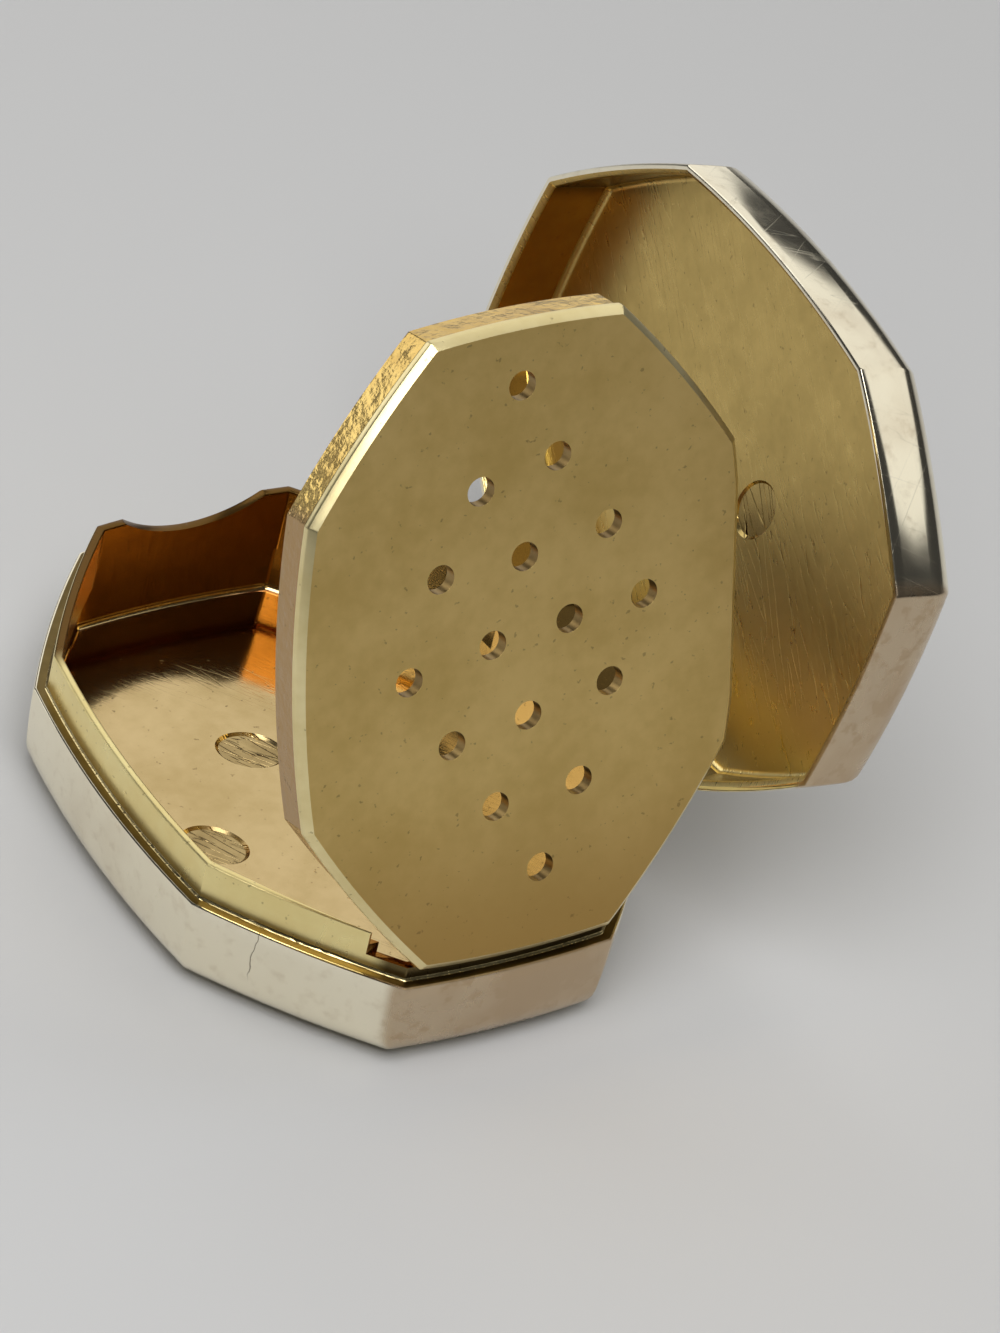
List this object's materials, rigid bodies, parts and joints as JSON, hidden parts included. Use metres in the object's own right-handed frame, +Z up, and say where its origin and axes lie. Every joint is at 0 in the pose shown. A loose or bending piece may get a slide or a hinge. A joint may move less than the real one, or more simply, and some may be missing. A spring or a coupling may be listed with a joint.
{
  "type": "silver vinaigrette",
  "caption": "Small octagonal silver box with bowed sides, a hinged lid, a gilt bezel and a hinged, pierced gilt grille over an empty compartment.",
  "frame": {"origin": "Centre of the flat bottom that the box rests on.", "axes": "+Z up, Y along the box with the thumb notch at +Y and the grille's hinge at -Y, +X towards the lid's hinge."},
  "size_m": [0.0324, 0.0307, 0.0327],
  "materials": {
    "silver": "worn polished silver, gilt on the inner faces",
    "gilt": "satin gilding on silver"
  },
  "bodies": {
    "base": {"base_bottom": "silver", "base_band": "silver", "bezel": "gilt", "lid_hinge_knuckle_front": "silver", "lid_hinge_knuckle_middle": "silver", "lid_hinge_knuckle_rear": "silver", "lid_hinge_pin": "silver", "grille_hinge_knuckle_left": "gilt", "grille_hinge_knuckle_right": "gilt", "grille_hinge_pin": "gilt"},
    "lid": {"lid_band": "silver", "lid_top": "silver", "lid_knuckle_front": "silver", "lid_knuckle_rear": "silver"},
    "grille": {"grille_plate": "gilt", "grille_flange": "gilt", "grille_knuckle": "gilt"}
  },
  "joints": [
    {"name": "lid_hinge", "type": "hinge", "parent": "base", "child": "lid", "pos_m": [0.0119, 0, 0.0046], "axis": [0, 1, 0], "range_deg": [-15, 70]},
    {"name": "grille_hinge", "type": "hinge", "parent": "base", "child": "grille", "pos_m": [0, -0.0143, 0.00544], "axis": [1, 0, 0], "range_deg": [-71, 19]}
  ]
}
